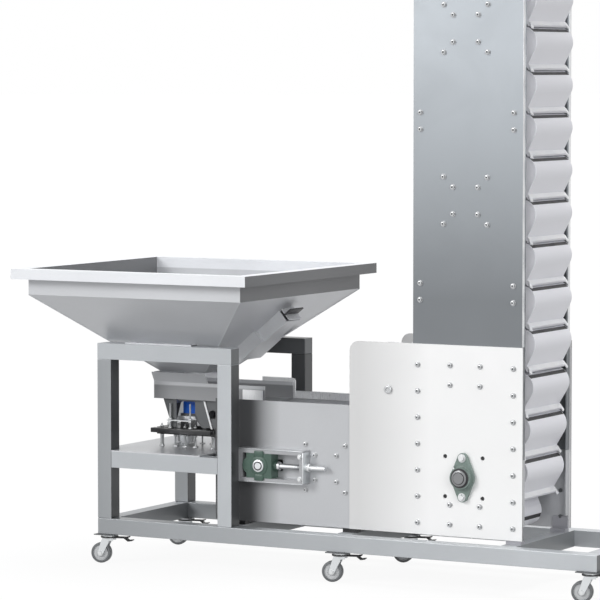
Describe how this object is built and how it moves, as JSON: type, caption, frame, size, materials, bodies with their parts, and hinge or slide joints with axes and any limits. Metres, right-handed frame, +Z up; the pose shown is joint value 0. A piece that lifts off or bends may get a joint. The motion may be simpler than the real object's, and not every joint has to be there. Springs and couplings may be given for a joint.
{
  "type": "bucket elevator",
  "caption": "Z-shaped swing bucket elevator with a feed hopper, a vibrating feeder tray, a vertical casing, a drive head and a wheeled base.",
  "frame": {"origin": "on the floor, under the middle of the whole machine's box", "axes": "+Z up from the floor; +X along the machine from the feed hopper towards the column and the discharge; +Y across it, from the front side to the motor side"},
  "size_m": [2.3516, 0.84, 3.053],
  "materials": {
    "frame_steel": "satin",
    "sheet_steel": "brushed",
    "corner_plate": "satin",
    "zinc": "satin",
    "castor_wheel": "matte",
    "bright_steel": "turned",
    "chain_steel": "oiled",
    "guide_plastic": "matte",
    "bearing_iron": "painted cast",
    "take_up_green": "satin",
    "coil_blue": "satin",
    "spring_steel": "satin",
    "black_steel": "satin",
    "motor_blue": "gloss",
    "bucket_plastic": "satin"
  },
  "bodies": {
    "frame": {"base_long_rails": "frame_steel", "base_cross_rails": "frame_steel", "stand_posts": "frame_steel", "stand_top_beams": "frame_steel", "stand_shelf_beams": "frame_steel", "shelf_plate": "sheet_steel", "castor_top_plates": "zinc", "hopper_cone": "sheet_steel", "hopper_skirt": "sheet_steel", "gate_guides": "sheet_steel", "feeder_tray": "sheet_steel", "feeder_brackets": "sheet_steel", "feeder_springs": "spring_steel", "feeder_coil": "coil_blue", "feeder_base": "black_steel", "boot_sides": "sheet_steel", "boot_end": "sheet_steel", "casing_feet": "frame_steel", "lower_corner_plates": "corner_plate", "column_sides": "sheet_steel", "column_spreaders": "frame_steel", "upper_corner_plates": "corner_plate", "head_sides": "sheet_steel", "head_end": "sheet_steel", "discharge_chute": "sheet_steel", "casing_ties": "frame_steel", "chain_guides": "guide_plastic", "inner_guide_discs": "guide_plastic", "chain_loops": "chain_steel", "chain_wheels": "chain_steel", "shafts": "bright_steel", "take_up_frames": "bright_steel", "take_up_bearings": "take_up_green", "take_up_screws": "bright_steel", "flange_bearings": "bearing_iron", "gear_motor": "motor_blue", "buckets_lower_run": "bucket_plastic", "buckets_return_run": "bucket_plastic", "buckets_head_lower_run": "bucket_plastic", "buckets_head_upper_run": "bucket_plastic", "buckets_lift_run": "bucket_plastic", "buckets_boot_upper_run": "bucket_plastic"},
    "gate": {"hopper_gate": "sheet_steel"},
    "swivel_1": {"castor_fork_1": "zinc"},
    "wheel_1": {"castor_wheel_1": "castor_wheel"},
    "swivel_2": {"castor_fork_2": "zinc"},
    "wheel_2": {"castor_wheel_2": "castor_wheel"},
    "swivel_3": {"castor_fork_3": "zinc"},
    "wheel_3": {"castor_wheel_3": "castor_wheel"},
    "swivel_4": {"castor_fork_4": "zinc"},
    "wheel_4": {"castor_wheel_4": "castor_wheel"},
    "swivel_5": {"castor_fork_5": "zinc"},
    "wheel_5": {"castor_wheel_5": "castor_wheel"},
    "swivel_6": {"castor_fork_6": "zinc"},
    "wheel_6": {"castor_wheel_6": "castor_wheel"}
  },
  "joints": [
    {"name": "gate_slide", "type": "slide", "parent": "frame", "child": "gate", "axis": [0.7705, 0, 0.6374], "range_m": [0, 0.06]},
    {"name": "castor_swivel_1", "type": "hinge", "parent": "frame", "child": "swivel_1", "pos_m": [-0.93775, -0.2275, 0.083], "axis": [0, 0, 1], "continuous": true},
    {"name": "castor_spin_1", "type": "hinge", "parent": "swivel_1", "child": "wheel_1", "pos_m": [-0.96286, -0.23423, 0.032], "axis": [-0.2588, 0.9659, 0], "continuous": true},
    {"name": "castor_swivel_2", "type": "hinge", "parent": "frame", "child": "swivel_2", "pos_m": [-0.11275, -0.2275, 0.083], "axis": [0, 0, 1], "continuous": true},
    {"name": "castor_spin_2", "type": "hinge", "parent": "swivel_2", "child": "wheel_2", "pos_m": [-0.13786, -0.23423, 0.032], "axis": [-0.2588, 0.9659, 0], "continuous": true},
    {"name": "castor_swivel_3", "type": "hinge", "parent": "frame", "child": "swivel_3", "pos_m": [0.71225, -0.2275, 0.083], "axis": [0, 0, 1], "continuous": true},
    {"name": "castor_spin_3", "type": "hinge", "parent": "swivel_3", "child": "wheel_3", "pos_m": [0.68714, -0.23423, 0.032], "axis": [-0.2588, 0.9659, 0], "continuous": true},
    {"name": "castor_swivel_4", "type": "hinge", "parent": "frame", "child": "swivel_4", "pos_m": [-0.93775, 0.2365, 0.083], "axis": [0, 0, 1], "continuous": true},
    {"name": "castor_spin_4", "type": "hinge", "parent": "swivel_4", "child": "wheel_4", "pos_m": [-0.96286, 0.22977, 0.032], "axis": [-0.2588, 0.9659, 0], "continuous": true},
    {"name": "castor_swivel_5", "type": "hinge", "parent": "frame", "child": "swivel_5", "pos_m": [-0.11275, 0.2365, 0.083], "axis": [0, 0, 1], "continuous": true},
    {"name": "castor_spin_5", "type": "hinge", "parent": "swivel_5", "child": "wheel_5", "pos_m": [-0.13786, 0.22977, 0.032], "axis": [-0.2588, 0.9659, 0], "continuous": true},
    {"name": "castor_swivel_6", "type": "hinge", "parent": "frame", "child": "swivel_6", "pos_m": [0.71225, 0.2365, 0.083], "axis": [0, 0, 1], "continuous": true},
    {"name": "castor_spin_6", "type": "hinge", "parent": "swivel_6", "child": "wheel_6", "pos_m": [0.68714, 0.22977, 0.032], "axis": [-0.2588, 0.9659, 0], "continuous": true}
  ]
}
